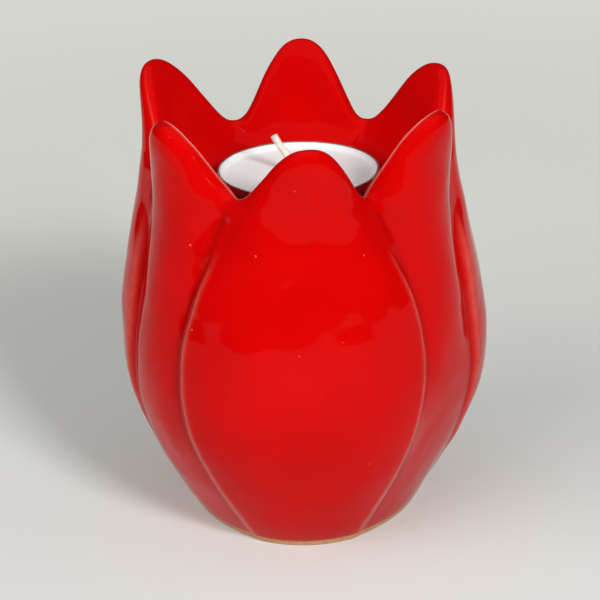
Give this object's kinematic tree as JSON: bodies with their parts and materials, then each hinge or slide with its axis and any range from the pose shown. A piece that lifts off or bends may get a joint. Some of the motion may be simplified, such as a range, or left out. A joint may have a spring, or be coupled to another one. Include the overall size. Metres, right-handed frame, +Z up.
{
  "type": "tulip tealight holder",
  "caption": "Glazed ceramic holder shaped as an open tulip, with a tealight standing in the pocket between its petals.",
  "frame": {"origin": "in the plane of the foot, under the middle of the flower's outline, 1.6 mm in front of its axis and 0.6 mm to the right of it", "axes": "+Z up along the flower's axis, -Y out through the front petal, +X to the right seen from the front"},
  "size_m": [0.0864, 0.086, 0.104],
  "materials": {
    "red_glaze": "gloss red glaze over earthenware, bare at the foot",
    "cup_aluminium": "pressed foil gauge, bright",
    "white_wax": "cast paraffin wax, satin",
    "cotton_wick": "braided cotton, waxed",
    "tab_steel": "tinned sheet steel"
  },
  "bodies": {
    "holder": {"tulip_holder": "red_glaze"},
    "tealight": {"tealight_cup": "cup_aluminium"},
    "candle": {"candle_wax": "white_wax", "wick": "cotton_wick", "wick_sustainer": "tab_steel"}
  },
  "joints": [
    {"name": "tealight_lift", "type": "slide", "parent": "holder", "child": "tealight", "axis": [0, 0, 1], "range_m": [0, 0.045]},
    {"name": "candle_lift", "type": "slide", "parent": "tealight", "child": "candle", "axis": [0, 0, 1], "range_m": [0, 0.018]}
  ]
}
